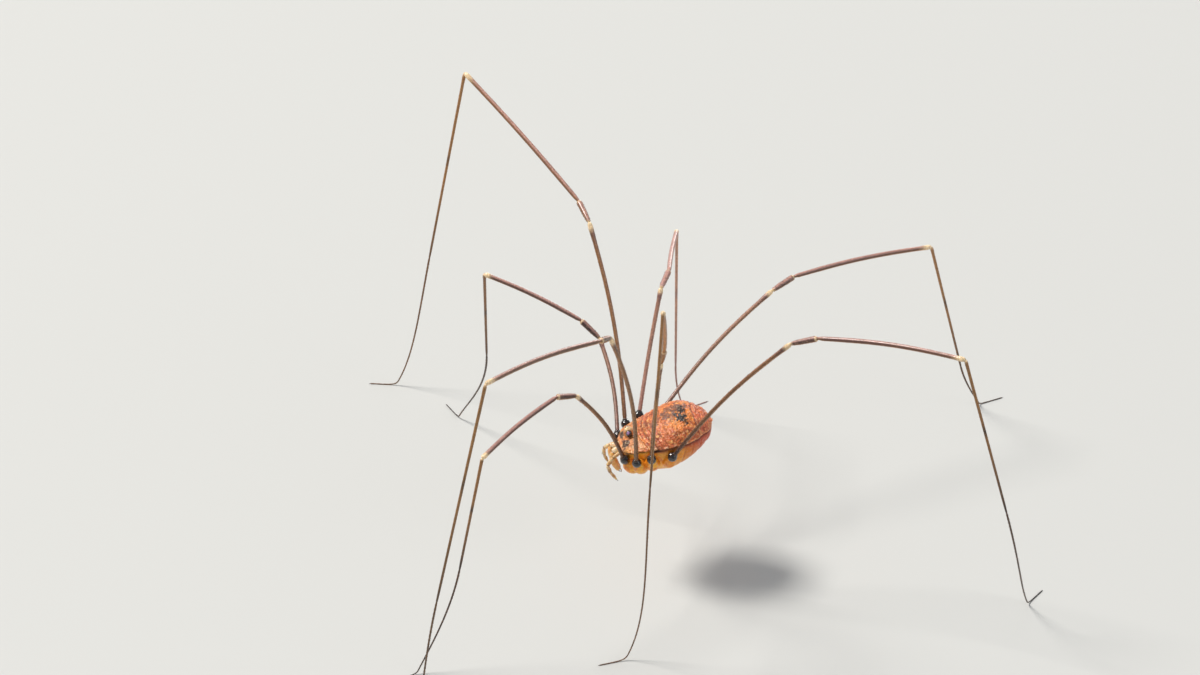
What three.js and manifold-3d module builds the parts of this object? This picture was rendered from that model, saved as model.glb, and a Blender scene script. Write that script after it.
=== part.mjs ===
// A harvestman standing on its eight long legs, at life size.
// Millimetres, +Z up, head towards -Y, the animal's left side towards +X.
// The floor is z = 0 and the origin is the bottom centre of the whole animal.

import * as THREE from 'three';
import { mergeVertices } from 'three/addons/utils/BufferGeometryUtils.js';
import Module from 'manifold-3d';

const wasm = await Module();
wasm.setup();

// Clearances between neighbouring pieces
const BODY_GAP = 0.1;
const LEG_GAP = 0.1;
const HEAD_GAP = 0.05;

// The trunk: its middle, how far the head hangs down, and its length
const BODY_CENTRE = new THREE.Vector3(0, 0.27, 6.93);
const HEAD_DOWN = THREE.MathUtils.degToRad(12.5);
const BODY_HALF_LENGTH = 2.165;
const WAIST_Y = -0.9;
const WIDEST_Z = 0.2;
const WIDEST_SHARE = 0.6;
const BODY_SIDES = 28;
const HEAD_RINGS = 9;
const ABDOMEN_RINGS = 18;

// Half width, height above and depth below the body's axis, from head to tail
const BODY_STATIONS = [
  { y: -2.165, half: 0.55, top: 0.16, bottom: 0.35 },
  { y: -1.9, half: 0.93, top: 0.38, bottom: 0.85 },
  { y: -1.45, half: 1.2, top: 0.56, bottom: 1.3 },
  { y: -0.9, half: 1.37, top: 0.7, bottom: 1.52 },
  { y: -0.2, half: 1.5, top: 0.94, bottom: 1.6 },
  { y: 0.5, half: 1.56, top: 1.13, bottom: 1.38 },
  { y: 1.1, half: 1.42, top: 1.08, bottom: 1.06 },
  { y: 1.6, half: 1.08, top: 0.8, bottom: 0.78 },
  { y: 2.0, half: 0.58, top: 0.42, bottom: 0.42 },
  { y: 2.165, half: 0.2, top: 0.22, bottom: 0.12 },
];

// How finely round solids are divided: around, and from pole to pole
const STERNUM_GRID = [20, 12];
const MOUND_GRID = [18, 12];
const EYE_GRID = [16, 12];
const CLEARANCE_GRID = [14, 10];

// The plate under the head that the coxae grow from
const STERNUM = { centre: [0, -1.0, -0.85], radii: [0.85, 1.05, 0.7] };

// The eye mound, and the eyes on its two sides
const MOUND = { centre: [0, -1.58, 0.6], radii: [0.21, 0.28, 0.34] };
const EYE = { offset: 0.23, y: -1.62, z: 0.7, radius: 0.14 };

// Jaws and feelers, as paths with a radius at each point, on the left side
const JAW_PATH = [
  { at: [0.2, -2.22, -0.1], radius: 0.16 },
  { at: [0.21, -2.46, -0.12], radius: 0.16 },
  { at: [0.23, -2.6, -0.38], radius: 0.16 },
  { at: [0.2, -2.56, -0.86], radius: 0.15 },
  { at: [0.15, -2.44, -1.3], radius: 0.06 },
];
const FEELER_PATHS = {
  left: [
    { at: [0.5, -1.75, 0.0], radius: 0.2 },
    { at: [0.66, -2.2, -0.2], radius: 0.21 },
    { at: [0.8, -2.62, -0.28], radius: 0.23 },
    { at: [0.82, -2.82, -0.5], radius: 0.23 },
    { at: [0.76, -2.7, -0.95], radius: 0.22 },
    { at: [0.62, -2.42, -1.45], radius: 0.12 },
  ],
  right: [
    { at: [0.5, -1.75, 0.0], radius: 0.2 },
    { at: [0.64, -2.2, -0.16], radius: 0.21 },
    { at: [0.74, -2.6, -0.2], radius: 0.23 },
    { at: [0.76, -2.82, -0.4], radius: 0.23 },
    { at: [0.72, -2.78, -0.85], radius: 0.22 },
    { at: [0.62, -2.66, -1.3], radius: 0.12 },
  ],
};
const JAW_STEPS = 10;
const FEELER_STEPS = 14;
const MOUTHPART_SIDES = 10;

// Legs are 0.5 mm thick, and the feet taper to their tips
const LEG_RADIUS = 0.25;
const KNEE_RADIUS = 0.28;
const TROCHANTER_RADIUS = 0.26;
const TOE_RADIUS = 0.13;
const TOE_LENGTH = 1.2;
const LEG_SIDES = 8;

// Each coxa runs from beside the middle line out to its leg's root, and the front ones slant forward
const COXA_INNER = { x: 0.35, z: -0.95, rootShare: 0.6, forward: 0.4 };
const COXA_RADII = [0.32, 0.4, 0.38, 0.31];
const COXA_SIDES = 12;

// The trochanter is a short barrel: places along it and its width there, as shares of its radius
const BARREL = [
  { along: -0.8, width: 0.45 },
  { along: -0.48, width: 0.8 },
  { along: 0, width: 1 },
  { along: 0.48, width: 0.9 },
  { along: 0.8, width: 0.8 },
];
const BARREL_END = BARREL[BARREL.length - 1].along;
const BARREL_SIDES = 12;

// Long segments are slightly bent, in planes square to this way
const BEND_AXIS = new THREE.Vector3(0.819, -0.13, 0.559);
const LONG_SHARES = [0, 0.08, 0.3, 0.5, 0.7, 0.92, 1];
const SHORT_SHARES = [0, 0.5, 1];

// The tarsus leaves the ankle along the metatarsus and levels out before the foot.
// Lengths are shares of the ankle's height.
const TARSUS = { steps: 10, leave: 0.45, level: 0.12, levelHeight: 0.22 };

// Each segment is [length, azimuth, elevation]: 0 degrees is forward, 90 is the animal's left.
// foot is where the foot first lies on the floor, and bends is how far the long segments bow.
const SEGMENTS = ['femur', 'patella', 'tibia', 'metatarsus'];
const LEGS = [
  {
    side: 'left', number: 1, root: [0.97, -1.78, 6.4], foot: [7.05, -12.2],
    femur: [5.0, 20, 60], patella: [1.2, 30, 20], tibia: [5.0, 40, -8], metatarsus: [5.6, 30, -76],
    bends: { femur: 0.25, tibia: 0.12 },
  },
  {
    side: 'right', number: 1, root: [-0.97, -1.78, 6.4], foot: [-12.6, -7.6],
    femur: [5.0, -88, 29], patella: [1.2, -37, 35], tibia: [5.0, -32, 15], metatarsus: [5.6, -100, -76],
    bends: { femur: 0.12, tibia: 0.11 },
  },
  {
    side: 'left', number: 2, root: [1.57, -1.33, 6.57], foot: [14.0, -13.6],
    femur: [9.4, 59, 70], patella: [1.35, 60, 26], tibia: [8.4, 44, 15], metatarsus: [10.4, 35, -73],
    bends: { femur: 0.34, tibia: 0.2 },
  },
  {
    side: 'right', number: 2, root: [-1.57, -1.33, 6.57], foot: [-15.8, -10.2],
    femur: [9.4, -83, 50], patella: [1.35, -77, 16], tibia: [8.4, -55, 25], metatarsus: [10.4, -10, -80],
    bends: { femur: 0.29, tibia: 0.07 },
  },
  {
    side: 'left', number: 3, root: [1.77, -0.68, 6.84], foot: [7.5, -2.8],
    femur: [5.9, 105, 81], patella: [1.15, 95, 62], tibia: [4.9, 79, 54], metatarsus: [8.5, 60, -80],
    bends: { femur: 0.04, tibia: 0.05 },
  },
  {
    side: 'right', number: 3, root: [-1.77, -0.68, 6.84], foot: [-11.6, 3.2],
    femur: [5.9, -116, 54], patella: [1.15, -118, 12], tibia: [4.9, -104, -11], metatarsus: [8.2, -100, -84],
    bends: { femur: 0.04, tibia: 0.05 },
  },
  {
    side: 'left', number: 4, root: [1.75, 0.28, 6.86], foot: [6.2, 16.0],
    femur: [8.0, 173, 49], patella: [1.3, 158, 21], tibia: [7.1, 146, 7], metatarsus: [8.0, 150, -74],
    bends: { femur: 0.27, tibia: 0.19 },
  },
  {
    side: 'right', number: 4, root: [-1.75, 0.28, 6.86], foot: [-9.8, 17.2],
    femur: [8.0, -145, 25], patella: [1.3, -152, 12], tibia: [7.1, -165, -2], metatarsus: [8.0, -150, -74],
    bends: { femur: 0.25, tibia: 0.15 },
  },
];

// Vertices closer than this are one vertex, and a way steeper than this is nearly along X
const SAME_PLACE = 1e-5;
const NEARLY_ALONG = 0.9;

// Colours
const material = (color, roughness) => new THREE.MeshStandardMaterial({ color, roughness, metalness: 0 });
const backMaterial = material(0xb8623c, 0.5);
const headMaterial = material(0xd08a4e, 0.5);
const eyeMaterial = material(0x0c0a10, 0.15);
const paleMaterial = material(0xe0b98a, 0.5);
const blackMaterial = material(0x1c1210, 0.25);
const legMaterial = material(0x7a5230, 0.5);
const footMaterial = material(0x4a3020, 0.55);

const animal = new THREE.Group();
const trunk = new THREE.Group();
trunk.position.copy(BODY_CENTRE);
trunk.rotation.x = HEAD_DOWN;
trunk.updateMatrixWorld(true);
animal.add(trunk);

function addMesh(parent, name, geometry, meshMaterial) {
  const mesh = new THREE.Mesh(geometry, meshMaterial);
  mesh.name = name;
  parent.add(mesh);
  return mesh;
}

// Closed surface through rings of points, capped at both ends
function loft(rings) {
  const count = rings[0].length;
  const positions = [];
  const indices = [];
  for (const ring of rings) {
    for (const point of ring) positions.push(point.x, point.y, point.z);
  }
  for (let r = 0; r < rings.length - 1; r += 1) {
    for (let i = 0; i < count; i += 1) {
      const a = r * count + i;
      const b = r * count + ((i + 1) % count);
      indices.push(a, b, a + count, b, b + count, a + count);
    }
  }
  const addCap = (ring, first, reversed) => {
    const middle = new THREE.Vector3();
    for (const point of ring) middle.addScaledVector(point, 1 / count);
    const centre = positions.length / 3;
    positions.push(middle.x, middle.y, middle.z);
    for (let i = 0; i < count; i += 1) {
      const next = first + ((i + 1) % count);
      if (reversed) indices.push(centre, next, first + i);
      else indices.push(centre, first + i, next);
    }
  };
  addCap(rings[0], 0, true);
  addCap(rings[rings.length - 1], (rings.length - 1) * count, false);
  const geometry = new THREE.BufferGeometry();
  geometry.setAttribute('position', new THREE.Float32BufferAttribute(positions, 3));
  geometry.setIndex(indices);
  return geometry;
}

// Closed tube along a path, of changing radius.
// startFace and endFace are planes that the two end faces are slid onto.
function sweep(points, radii, sides, startFace = null, endFace = null) {
  const tangents = points.map((point, i) => {
    const before = points[Math.max(i - 1, 0)];
    const after = points[Math.min(i + 1, points.length - 1)];
    return after.clone().sub(before).normalize();
  });
  const across = new THREE.Vector3(1, 0, 0);
  if (Math.abs(tangents[0].x) > NEARLY_ALONG) across.set(0, 1, 0);
  across.addScaledVector(tangents[0], -across.dot(tangents[0])).normalize();
  const rings = points.map((point, i) => {
    across.addScaledVector(tangents[i], -across.dot(tangents[i])).normalize();
    const up = new THREE.Vector3().crossVectors(tangents[i], across);
    const ring = [];
    for (let s = 0; s < sides; s += 1) {
      const angle = (2 * Math.PI * s) / sides;
      ring.push(point.clone()
        .addScaledVector(across, radii[i] * Math.cos(angle))
        .addScaledVector(up, radii[i] * Math.sin(angle)));
    }
    return ring;
  });
  const slide = (ring, along, plane) => {
    for (const point of ring) {
      point.addScaledVector(along, -plane.distanceToPoint(point) / plane.normal.dot(along));
    }
  };
  if (startFace) slide(rings[0], tangents[0], startFace);
  if (endFace) slide(rings[rings.length - 1], tangents[tangents.length - 1], endFace);
  return loft(rings);
}

// A smooth curve through a path's points, with its radii eased between them
function smoothPath(path, steps) {
  const curve = new THREE.CatmullRomCurve3(path.map(({ at }) => new THREE.Vector3(...at)));
  const points = [];
  const radii = [];
  for (let i = 0; i <= steps; i += 1) {
    const t = i / steps;
    const place = t * (path.length - 1);
    const before = Math.min(Math.floor(place), path.length - 2);
    points.push(curve.getPoint(t));
    radii.push(THREE.MathUtils.lerp(path[before].radius, path[before + 1].radius, place - before));
  }
  return { points, radii };
}

function ellipsoid(centre, radii, grid) {
  const geometry = new THREE.SphereGeometry(1, ...grid);
  geometry.scale(...radii);
  geometry.translate(...centre);
  return geometry;
}

// Joining and cutting closed solids
function toSolid(geometry) {
  const bare = geometry.clone();
  bare.deleteAttribute('normal');
  bare.deleteAttribute('uv');
  const merged = mergeVertices(bare, SAME_PLACE);
  return new wasm.Manifold(new wasm.Mesh({
    numProp: 3,
    vertProperties: Float32Array.from(merged.attributes.position.array),
    triVerts: Uint32Array.from(merged.index.array),
  }));
}

function largestBody(solid) {
  const bodies = solid.decompose();
  return bodies.reduce((best, body) => (body.volume() > best.volume() ? body : best));
}

function toGeometry(solid) {
  const mesh = largestBody(solid).getMesh();
  const geometry = new THREE.BufferGeometry();
  geometry.setAttribute('position', new THREE.Float32BufferAttribute(mesh.vertProperties, 3));
  geometry.setIndex(Array.from(mesh.triVerts));
  return geometry;
}

const joinAll = (solids) => solids.reduce((sum, solid) => sum.add(solid));

// The trunk's cross-section at a place along its axis, grown by some clearance
function bodySection(y, extra) {
  const last = BODY_STATIONS.length - 1;
  let index = BODY_STATIONS.findIndex((station) => station.y >= y);
  index = THREE.MathUtils.clamp(index, 1, last);
  const ease = (key) => {
    const station = (step) => BODY_STATIONS[THREE.MathUtils.clamp(index + step, 0, last)];
    const [p0, p1, p2, p3] = [station(-2), station(-1), station(0), station(1)];
    const span = p2.y - p1.y;
    const t = (y - p1.y) / span;
    const slopeIn = ((p2[key] - p0[key]) / (p2.y - p0.y)) * span;
    const slopeOut = ((p3[key] - p1[key]) / (p3.y - p1.y)) * span;
    const t2 = t * t;
    const t3 = t2 * t;
    return (2 * t3 - 3 * t2 + 1) * p1[key] + (t3 - 2 * t2 + t) * slopeIn
      + (3 * t2 - 2 * t3) * p2[key] + (t3 - t2) * slopeOut;
  };
  const half = ease('half') + extra;
  const top = ease('top') + extra;
  const bottom = ease('bottom') + extra;
  const edge = Math.min(WIDEST_Z, WIDEST_SHARE * top);
  const ring = [];
  for (let s = 0; s < BODY_SIDES; s += 1) {
    const angle = (2 * Math.PI * s) / BODY_SIDES;
    const rise = Math.sin(angle);
    const z = rise > 0 ? edge + (top - edge) * rise : edge + (bottom + edge) * rise;
    ring.push(new THREE.Vector3(half * Math.cos(angle), y, z));
  }
  return ring;
}

function bodyPiece(from, to, steps, extra = 0) {
  const rings = [];
  for (let i = 0; i <= steps; i += 1) {
    rings.push(bodySection(THREE.MathUtils.lerp(from, to, i / steps), extra).reverse());
  }
  return loft(rings);
}

const direction = (azimuth, elevation) => {
  const a = THREE.MathUtils.degToRad(azimuth);
  const e = THREE.MathUtils.degToRad(elevation);
  return new THREE.Vector3(Math.cos(e) * Math.sin(a), -Math.cos(e) * Math.cos(a), Math.sin(e));
};

const toTrunk = (point) => trunk.worldToLocal(point.clone());

const grownBy = (radii, extra) => radii.map((radius) => radius + extra);

// A coxa reaches from under the head out to its leg's root
function coxa(leg, extra) {
  const root = toTrunk(new THREE.Vector3(...leg.root));
  const side = Math.sign(root.x);
  const innerY = COXA_INNER.rootShare * root.y - COXA_INNER.forward;
  const inner = new THREE.Vector3(side * COXA_INNER.x, innerY, COXA_INNER.z);
  const points = COXA_RADII.map((radius, i) => inner.clone().lerp(root, i / (COXA_RADII.length - 1)));
  return toSolid(sweep(points, grownBy(COXA_RADII, extra), COXA_SIDES));
}

const trochanterClearance = (leg, extra) => {
  const root = toTrunk(new THREE.Vector3(...leg.root));
  return toSolid(ellipsoid(root.toArray(), Array(3).fill(TROCHANTER_RADIUS + extra), CLEARANCE_GRID));
};

// Cephalothorax: the carapace with the eight coxae and the plate between them
const sternum = (extra) => toSolid(ellipsoid(STERNUM.centre, grownBy(STERNUM.radii, extra), STERNUM_GRID));
const frontHalf = toSolid(bodyPiece(-BODY_HALF_LENGTH, WAIST_Y - BODY_GAP / 2, HEAD_RINGS));
const coxae = joinAll([sternum(0), ...LEGS.map((leg) => coxa(leg, 0))]);
const trochanterRoom = joinAll(LEGS.map((leg) => trochanterClearance(leg, LEG_GAP)));
const head = frontHalf.add(coxae).subtract(trochanterRoom);
addMesh(trunk, 'cephalothorax', toGeometry(head), headMaterial);

// Abdomen, cut clear of the coxae that reach back under it
const rearHalf = toSolid(bodyPiece(WAIST_Y + BODY_GAP / 2, BODY_HALF_LENGTH, ABDOMEN_RINGS));
const coxaRoom = joinAll([sternum(BODY_GAP), ...LEGS.map((leg) => coxa(leg, BODY_GAP))]);
const abdomen = rearHalf.subtract(coxaRoom).subtract(trochanterRoom);
addMesh(trunk, 'abdomen', toGeometry(abdomen), backMaterial);

// Eye mound and eyes
const carapaceRoom = toSolid(bodyPiece(-BODY_HALF_LENGTH, WAIST_Y, HEAD_RINGS, HEAD_GAP));
const mound = toSolid(ellipsoid(MOUND.centre, MOUND.radii, MOUND_GRID)).subtract(carapaceRoom);
const moundRoom = toSolid(ellipsoid(MOUND.centre, grownBy(MOUND.radii, HEAD_GAP), MOUND_GRID));
addMesh(trunk, 'ocularium', toGeometry(mound), headMaterial);
for (const [side, sign] of [['left', 1], ['right', -1]]) {
  const ball = toSolid(ellipsoid([sign * EYE.offset, EYE.y, EYE.z], Array(3).fill(EYE.radius), EYE_GRID));
  addMesh(trunk, `eye_${side}`, toGeometry(ball.subtract(moundRoom).subtract(carapaceRoom)), eyeMaterial);
}

// Jaws and feelers
const mirrored = (path, sign) => path.map(({ at: [x, y, z], radius }) => ({ at: [sign * x, y, z], radius }));
const frontLegs = LEGS.filter((leg) => leg.number === 1);
const headRoom = joinAll([
  carapaceRoom,
  sternum(HEAD_GAP),
  ...frontLegs.map((leg) => coxa(leg, HEAD_GAP)),
  ...frontLegs.map((leg) => trochanterClearance(leg, HEAD_GAP)),
]);
for (const [side, sign] of [['left', 1], ['right', -1]]) {
  const jaw = smoothPath(mirrored(JAW_PATH, sign), JAW_STEPS);
  const jawSolid = toSolid(sweep(jaw.points, jaw.radii, MOUTHPART_SIDES)).subtract(headRoom);
  addMesh(trunk, `chelicera_${side}`, toGeometry(jawSolid), paleMaterial);
  const feeler = smoothPath(mirrored(FEELER_PATHS[side], sign), FEELER_STEPS);
  const feelerSolid = toSolid(sweep(feeler.points, feeler.radii, MOUTHPART_SIDES)).subtract(headRoom);
  addMesh(trunk, `pedipalp_${side}`, toGeometry(feelerSolid), paleMaterial);
}

// How far a long segment bows away from its straight line, upwards
function bendOf(way, amount) {
  const bend = new THREE.Vector3().crossVectors(BEND_AXIS, way).normalize();
  return bend.multiplyScalar(amount * Math.sign(bend.z));
}

const planeAt = (place, normal, step) => {
  const point = place.clone().addScaledVector(normal, step);
  return new THREE.Plane().setFromNormalAndCoplanarPoint(normal, point);
};

// The tarsus bends down to the floor and lies on it with its last stretch
function tarsusCurve(ankle, way, foot, outward) {
  return new THREE.CubicBezierCurve3(
    ankle,
    ankle.clone().addScaledVector(way, TARSUS.leave * ankle.z),
    foot.clone().addScaledVector(outward, -TARSUS.level * ankle.z).setZ(TARSUS.levelHeight * ankle.z),
    foot,
  );
}

// Legs: each joint is a plane between two segments, and both end faces lie along it
function addLeg(leg) {
  const suffix = `${leg.side}_${leg.number}`;
  const root = new THREE.Vector3(...leg.root);
  const ways = SEGMENTS.map((name) => direction(leg[name][1], leg[name][2]));
  const joints = [root];
  SEGMENTS.forEach((name, i) => joints.push(joints[i].clone().addScaledVector(ways[i], leg[name][0])));

  const barrel = BARREL.map(({ along }) => root.clone().addScaledVector(ways[0], along * TROCHANTER_RADIUS));
  const barrelRadii = BARREL.map(({ width }) => width * TROCHANTER_RADIUS);
  addMesh(animal, `trochanter_${suffix}`, sweep(barrel, barrelRadii, BARREL_SIDES), blackMaterial);

  const foot = new THREE.Vector3(leg.foot[0], leg.foot[1], TOE_RADIUS);
  const ankle = joints[joints.length - 1];
  const outward = foot.clone().sub(ankle).setZ(0).normalize();
  const tarsus = tarsusCurve(ankle, ways[ways.length - 1], foot, outward);
  const tarsusWay = tarsus.getTangent(0);

  SEGMENTS.forEach((name, i) => {
    const first = i === 0;
    const nextWay = i === SEGMENTS.length - 1 ? tarsusWay : ways[i + 1];
    const startWay = first ? ways[0] : ways[i - 1].clone().add(ways[i]).normalize();
    const endWay = ways[i].clone().add(nextWay).normalize();
    const startStep = first ? BARREL_END * TROCHANTER_RADIUS + LEG_GAP : LEG_GAP / 2;
    const begin = joints[i].clone().addScaledVector(ways[i], startStep);
    const bend = bendOf(ways[i], leg.bends[name] ?? 0);
    const shares = name === 'patella' ? SHORT_SHARES : LONG_SHARES;
    const points = shares.map((share) => begin.clone().lerp(joints[i + 1], share)
      .addScaledVector(bend, Math.sin(Math.PI * share)));
    const radii = shares.map(() => LEG_RADIUS);
    if (name === 'patella') radii[1] = KNEE_RADIUS;
    const startFace = planeAt(joints[i], startWay, startStep);
    const endFace = planeAt(joints[i + 1], endWay, -LEG_GAP / 2);
    const geometry = sweep(points, radii, LEG_SIDES, startFace, endFace);
    addMesh(animal, `${name}_${suffix}`, geometry, name === 'metatarsus' ? footMaterial : legMaterial);
  });

  const path = tarsus.getPoints(TARSUS.steps);
  for (const share of [0.5, 1]) path.push(foot.clone().addScaledVector(outward, TOE_LENGTH * share));
  const radii = path.map((point, i) => {
    const share = Math.min(i / TARSUS.steps, 1);
    return THREE.MathUtils.lerp(LEG_RADIUS, TOE_RADIUS, share);
  });
  path[0].addScaledVector(tarsusWay, LEG_GAP / 2);
  const geometry = sweep(path, radii, LEG_SIDES, planeAt(ankle, tarsusWay, LEG_GAP / 2));
  const position = geometry.attributes.position;
  for (let i = 0; i < position.count; i += 1) {
    // The sole is flat on the floor
    position.setZ(i, Math.max(position.getZ(i), 0));
  }
  addMesh(animal, `tarsus_${suffix}`, geometry, footMaterial);
}
LEGS.forEach(addLeg);

// The origin is the bottom centre of the whole animal
const bounds = new THREE.Box3().setFromObject(animal);
const middle = bounds.getCenter(new THREE.Vector3());
animal.position.set(-middle.x, -middle.y, -bounds.min.z);

const model = new THREE.Group();
model.add(animal);

export default model;
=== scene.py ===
# The looks of a life-size harvestman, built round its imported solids.
# Shapes are worked out in millimetres in the animal's own frame and turned into metres at the end.
# Head towards -Y, the animal's left side towards +X, +Z up, floor at z = 0.

import math

import bpy
import numpy as np
from mathutils import Matrix, Vector


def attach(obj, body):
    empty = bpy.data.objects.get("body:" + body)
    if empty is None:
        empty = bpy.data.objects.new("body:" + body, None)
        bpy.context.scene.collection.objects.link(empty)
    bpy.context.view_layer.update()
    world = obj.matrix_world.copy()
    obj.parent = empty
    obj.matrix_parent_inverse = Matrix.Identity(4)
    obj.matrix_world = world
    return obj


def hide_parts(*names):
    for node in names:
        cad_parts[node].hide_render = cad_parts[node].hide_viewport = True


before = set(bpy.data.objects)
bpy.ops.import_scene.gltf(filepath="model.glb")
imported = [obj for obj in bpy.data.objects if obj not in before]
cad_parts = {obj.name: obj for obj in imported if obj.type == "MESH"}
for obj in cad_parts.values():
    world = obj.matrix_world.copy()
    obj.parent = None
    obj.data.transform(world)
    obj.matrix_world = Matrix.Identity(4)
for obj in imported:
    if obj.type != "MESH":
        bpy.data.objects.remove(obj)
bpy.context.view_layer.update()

MM = 0.001

# Trunk
BODY_CENTRE = np.array([0.0, 0.27, 6.93])
HEAD_DOWN = math.radians(12.5)
BODY_HALF_LENGTH = 2.165
WIDEST_Z = 0.2
WIDEST_SHARE = 0.6
BODY_STATIONS = np.array([
    # along, half width, height above the axis, depth below it
    [-2.165, 0.50, 0.16, 0.30],
    [-1.9, 0.90, 0.36, 0.78],
    [-1.45, 1.16, 0.54, 1.28],
    [-0.9, 1.34, 0.70, 1.5],
    [-0.2, 1.49, 0.94, 1.59],
    [0.5, 1.55, 1.13, 1.37],
    [1.1, 1.42, 1.08, 1.06],
    [1.6, 1.08, 0.80, 0.78],
    [2.0, 0.58, 0.42, 0.42],
    [2.165, 0.05, 0.12, 0.05],
])
STERNUM_CENTRE = (0.0, -1.0, -0.84)
STERNUM_RADII = (0.82, 1.02, 0.69)
MOUND_CENTRE = (0.0, -1.60, 0.56)
MOUND_RADII = (0.17, 0.27, 0.36)
EYE_CENTRE = (0.185, -1.62, 0.66)
EYE_RADIUS = 0.145

# Legs: root, where the foot first lies on the floor, how far femur and tibia bow, and then each
# segment as (length, azimuth, elevation), with 0 degrees forward and 90 to the animal's left
LEG_PARTS = ("root", "foot", "bends", "femur", "patella", "tibia", "metatarsus")
LEG_ROWS = {
    "left_1": ((0.97, -1.78, 6.4), (7.05, -12.2), (0.25, 0.12),
        (5.0, 20, 60), (1.2, 30, 20), (5.0, 40, -8), (5.6, 30, -76)),
    "right_1": ((-0.97, -1.78, 6.4), (-12.6, -7.6), (0.2, 0.11),
        (5.0, -88, 29), (1.2, -37, 35), (5.0, -32, 15), (5.6, -100, -76)),
    "left_2": ((1.57, -1.33, 6.57), (14.0, -13.6), (0.34, 0.2),
        (9.4, 59, 70), (1.35, 60, 26), (8.4, 44, 15), (10.4, 35, -73)),
    "right_2": ((-1.57, -1.33, 6.57), (-15.8, -10.2), (0.29, 0.07),
        (9.4, -83, 50), (1.35, -77, 16), (8.4, -55, 25), (10.4, -10, -80)),
    "left_3": ((1.77, -0.68, 6.84), (7.5, -2.8), (0.04, 0.05),
        (5.9, 105, 81), (1.15, 95, 62), (4.9, 79, 54), (8.5, 60, -80)),
    "right_3": ((-1.77, -0.68, 6.84), (-11.6, 3.2), (0.04, 0.05),
        (5.9, -116, 54), (1.15, -118, 12), (4.9, -104, -11), (8.2, -100, -84)),
    "left_4": ((1.75, 0.28, 6.86), (6.2, 16.0), (0.27, 0.19),
        (8.0, 173, 49), (1.3, 158, 21), (7.1, 146, 7), (8.0, 150, -74)),
    "right_4": ((-1.75, 0.28, 6.86), (-9.8, 17.2), (0.25, 0.15),
        (8.0, -145, 25), (1.3, -152, 12), (7.1, -165, -2), (8.0, -150, -74)),
}
LEGS = {name: dict(zip(LEG_PARTS, row)) for name, row in LEG_ROWS.items()}
BEND_AXIS = np.array([0.819, -0.13, 0.559])
TROCHANTER_RADIUS = 0.225
TOE_LENGTH = 1.2
TOE_RADIUS = 0.03
TARSAL_RING = 0.18
TARSUS_LEAVE = 0.45
TARSUS_LEVEL = 0.12
TARSUS_LEVEL_HEIGHT = 0.22
FEMUR_START = 0.17
POINT_SPACING = 0.07

# Each coxa runs from beside the middle line almost out to its leg's root, with a bulge between
COXA_INNER_X = 0.35
COXA_INNER_Z = -0.95
COXA_ROOT_SHARE = 0.6
COXA_FORWARD = 0.4
COXA_REACH = 0.9
COXA_BULGE = (0.1, 0.0, -0.16)
COXA_RADII = ((0.0, 0.26), (0.25, 0.36), (0.7, 0.34), (0.9, 0.24), (1.0, 0.14))

# The photograph: 1200 by 675 pixels, 22 pixels to the millimetre at the trunk
PHOTO_SIZE = (1200, 675)
PIXELS_PER_MM = 22.0
TRUNK_PIXEL = (660, 440)
TRUNK_POINT = (0.0, 0.0, 6.6)
CAMERA_DISTANCE = 260.0
CAMERA_ELEVATION = 34
CAMERA_TURN = -9
SENSOR_WIDTH = 36.0

random = np.random.default_rng(7)


def smooth(low, high, value):
    t = np.clip((value - low) / (high - low), 0.0, 1.0)
    return t * t * (3 - 2 * t)


def bell(value, width):
    return np.exp(-((value / width) ** 2))


def unit(ways):
    """One direction, or many, at length 1."""
    return ways / np.linalg.norm(ways, axis=-1, keepdims=True)


def angles_round(count):
    return np.linspace(0, 2 * np.pi, count, endpoint=False)


def srgb(red, green, blue):
    """A screen colour, 0 to 255, as linear light."""
    c = np.array([red, green, blue]) / 255.0
    return np.where(c <= 0.04045, c / 12.92, ((c + 0.055) / 1.055) ** 2.4)


def blend(a, b, weight):
    weight = np.asarray(weight)[..., None]
    return a * (1 - weight) + b * weight


def paint(colours, *coats):
    """Lays further colours over the first, each as (colour, weight from 0 to 1)."""
    for colour, weight in coats:
        colours = blend(colours, colour, weight)
    return colours


HASH_PRIMES = (73856093, 19349663, 83492791)
HASH_MIXERS = ((13, 1274126177), (15, 668265263))
LOW_BITS = 0x7FFFFFFF
HASH_STEPS = 65536
SEED_STEP = 17.31


def value_noise(points, size, seed):
    """Smooth random values from 0 to 1 in space, with features of about that size."""
    p = points / size + seed * SEED_STEP
    cell = np.floor(p).astype(np.int64)
    f = p - cell
    f = f * f * (3 - 2 * f)
    total = np.zeros(len(points))
    for corner in np.ndindex(2, 2, 2):
        mixed = np.zeros(len(points), np.int64)
        weight = np.ones(len(points))
        for axis, step in enumerate(corner):
            mixed = mixed ^ (cell[:, axis] + step) * HASH_PRIMES[axis]
            weight = weight * (f[:, axis] if step else 1 - f[:, axis])
        for shift, prime in HASH_MIXERS:
            mixed = ((mixed ^ (mixed >> shift)) * prime) & LOW_BITS
        total += weight * (mixed % HASH_STEPS) / (HASH_STEPS - 1)
    return total


def layered_noise(points, size, seed, octaves=3):
    total = np.zeros(len(points))
    weight = 0.0
    for octave in range(octaves):
        share = 0.5 ** octave
        total += share * value_noise(points, size * share, seed + octave)
        weight += share
    return total / weight


def blotches(points, size, seed, low, high):
    """Ragged patches of about that size, from 0 to 1."""
    return smooth(low, high, layered_noise(points, size, seed))


# The trunk's own frame, tilted head down
TILT = np.array([
    [1.0, 0.0, 0.0],
    [0.0, math.cos(HEAD_DOWN), -math.sin(HEAD_DOWN)],
    [0.0, math.sin(HEAD_DOWN), math.cos(HEAD_DOWN)],
])


def from_trunk(points):
    return np.asarray(points) @ TILT.T + BODY_CENTRE


def to_trunk(points):
    return (np.asarray(points) - BODY_CENTRE) @ TILT


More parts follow.
